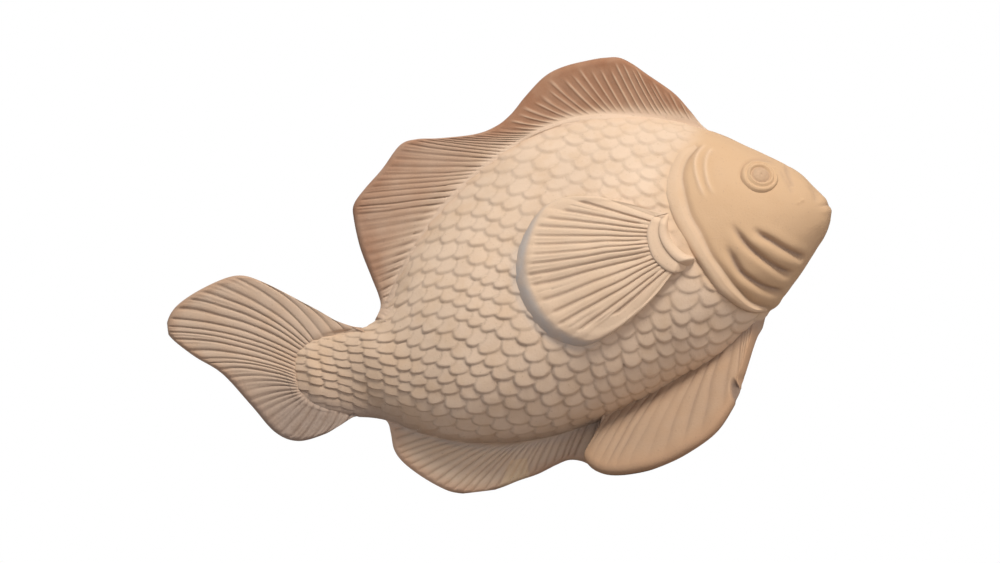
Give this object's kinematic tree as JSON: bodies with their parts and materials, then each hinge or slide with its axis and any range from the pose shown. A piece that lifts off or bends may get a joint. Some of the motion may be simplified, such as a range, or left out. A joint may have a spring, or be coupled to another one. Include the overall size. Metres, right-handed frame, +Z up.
{
  "type": "fish figurine",
  "caption": "Free-standing hollow earthenware fish with raised head, tall dorsal fin and spread tail, resting on its anal and flared pelvic fins; shelf or garden ornament.",
  "frame": {"origin": "on the ground under the middle of the figure's box", "axes": "+X towards the head, +Z up, -Y towards the right flank"},
  "size_m": [0.3371, 0.1014, 0.2081],
  "materials": {
    "buff_clay": "unglazed, matt, fine grained",
    "stained_clay": "unglazed, matt, with a thin reddish brown wash"
  },
  "bodies": {
    "root": {"right_body_half": "buff_clay", "left_body_half": "buff_clay", "dorsal_fin": "stained_clay", "tail_fin": "stained_clay", "anal_fin": "stained_clay", "right_pelvic_fin": "stained_clay", "left_pelvic_fin": "stained_clay", "right_pectoral_fin": "buff_clay", "left_pectoral_fin": "buff_clay", "right_fin_root": "buff_clay", "left_fin_root": "buff_clay", "right_gill_rim": "buff_clay", "left_gill_rim": "buff_clay", "right_eye": "buff_clay", "left_eye": "buff_clay"}
  },
  "joints": []
}
